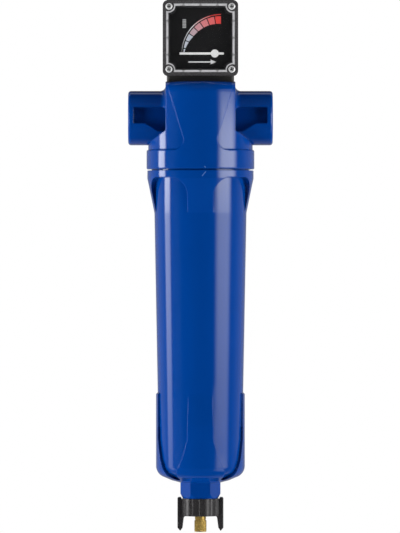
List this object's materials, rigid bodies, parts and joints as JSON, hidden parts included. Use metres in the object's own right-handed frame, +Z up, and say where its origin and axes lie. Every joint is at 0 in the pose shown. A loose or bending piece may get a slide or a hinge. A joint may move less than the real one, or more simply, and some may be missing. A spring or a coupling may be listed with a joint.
{
  "type": "compressed air particulate filter",
  "caption": "Compressed air particulate filter: cast head with side ports, screw-on bowl over a pleated element, float drain with wing nut, and a square differential pressure gauge on top.",
  "frame": {"origin": "on the inlet port axis where its threaded wall starts, 1.2 mm inside the port mouth on the left of the head seen from the dial side", "axes": "+X along the air flow from the inlet to the outlet port, +Z up along the bowl axis, -Y towards the side the dial faces"},
  "size_m": [0.1156, 0.0864, 0.4269],
  "materials": {
    "blue_paint": "gloss enamel",
    "black_rubber": "satin",
    "cap_plastic": "satin moulded",
    "filter_medium": "matt fleece",
    "stainless": "perforated sheet",
    "white_plastic": "satin moulded",
    "black_plastic": "satin moulded",
    "drain_brass": "machined",
    "float_foam": "matt",
    "pin_steel": "ground",
    "gauge_housing": "fine grained",
    "bezel_plastic": "smoky, slightly clear",
    "window_clear": "clear polished",
    "seal_grey": "satin",
    "dial_black": "printed matt black",
    "pointer_white": "satin",
    "shaft_steel": "ground",
    "magnet_grey": "sintered",
    "piston_aluminium": "turned",
    "spring_steel": "drawn wire",
    "screw_zinc": "zinc plated",
    "washer_steel": "zinc plated"
  },
  "bodies": {
    "head_group": {"head": "blue_paint", "gauge_body": "gauge_housing", "gauge_bezel": "bezel_plastic", "gauge_window": "window_clear", "window_seal": "seal_grey", "dial_plate": "dial_black", "shaft_bush": "drain_brass", "pointer_stops": "shaft_steel", "high_side_plug": "piston_aluminium", "low_side_plug": "piston_aluminium", "plug_orings": "black_rubber", "tap_orings": "black_rubber", "bezel_screws": "screw_zinc", "gauge_mount_screws": "screw_zinc"},
    "seal_carrier": {"bowl_oring": "black_rubber"},
    "bowl_group": {"bowl": "blue_paint", "drain_body": "white_plastic", "drain_oring": "black_rubber", "lever_pin": "pin_steel", "valve_seat": "drain_brass", "drain_strainer": "white_plastic"},
    "element": {"element_top_cap": "cap_plastic", "element_orings": "black_rubber", "pleated_media": "filter_medium", "inner_core": "stainless", "outer_cage": "stainless", "element_bottom_cap": "cap_plastic"},
    "float_group": {"float": "float_foam"},
    "lever_group": {"float_lever": "white_plastic"},
    "poppet_group": {"valve_poppet": "black_rubber"},
    "washer_group": {"clamp_washer": "washer_steel"},
    "nut_group": {"drain_wing_nut": "black_plastic"},
    "nipple_group": {"drain_nipple": "drain_brass", "nipple_oring": "black_rubber"},
    "piston_group": {"dp_piston": "piston_aluminium", "piston_magnet": "magnet_grey", "piston_spring": "spring_steel"},
    "pointer_group": {"pointer": "pointer_white", "pointer_shaft": "shaft_steel", "rotor_magnet": "magnet_grey"}
  },
  "joints": [
    {"name": "bowl_lower", "type": "slide", "parent": "head_group", "child": "seal_carrier", "axis": [0, 0, -1], "range_m": [0, 0.21]},
    {"name": "bowl_turn", "type": "hinge", "parent": "seal_carrier", "child": "bowl_group", "pos_m": [0.0566, 0, -0.0325], "axis": [0, 0, 1], "range_deg": [-720, 0]},
    {"name": "element_pull", "type": "slide", "parent": "head_group", "child": "element", "axis": [0, 0, -1], "range_m": [0, 0.016]},
    {"name": "float_rise", "type": "slide", "parent": "bowl_group", "child": "float_group", "axis": [0, 0, 1], "range_m": [0, 0.008]},
    {"name": "lever_tilt", "type": "hinge", "parent": "bowl_group", "child": "lever_group", "pos_m": [0.0686, 0, -0.2808], "axis": [0, 1, 0], "range_deg": [-0.01, 8.5]},
    {"name": "poppet_lift", "type": "slide", "parent": "bowl_group", "child": "poppet_group", "axis": [0, 0, 1], "range_m": [0, 0.0016]},
    {"name": "nut_travel", "type": "slide", "parent": "bowl_group", "child": "washer_group", "axis": [0, 0, -1], "range_m": [0, 0.0045]},
    {"name": "nut_turn", "type": "hinge", "parent": "washer_group", "child": "nut_group", "pos_m": [0.0566, 0, -0.3116], "axis": [0, 0, 1], "range_deg": [-1090, 1]},
    {"name": "nipple_turn", "type": "hinge", "parent": "bowl_group", "child": "nipple_group", "pos_m": [0.0566, 0, -0.325], "axis": [0, 0, 1], "range_deg": [0, 180]},
    {"name": "piston_shift", "type": "slide", "parent": "head_group", "child": "piston_group", "axis": [1, 0, 0], "range_m": [0, 0.01], "stiffness_N_per_m": 60, "deforming": ["piston_spring"]},
    {"name": "pointer_swing", "type": "hinge", "parent": "head_group", "child": "pointer_group", "pos_m": [0.068, -0.0292, 0.0507], "axis": [0, 1, 0], "range_deg": [0, 95.1]}
  ],
  "couplings": [
    {"joint": "lever_tilt", "follows": "float_rise", "rad_per_m": 18},
    {"joint": "poppet_lift", "follows": "float_rise", "ratio": 0.19},
    {"joint": "nut_turn", "follows": "nut_travel", "rad_per_m": -4188.8},
    {"joint": "pointer_swing", "follows": "piston_shift", "rad_per_m": 165.8}
  ]
}
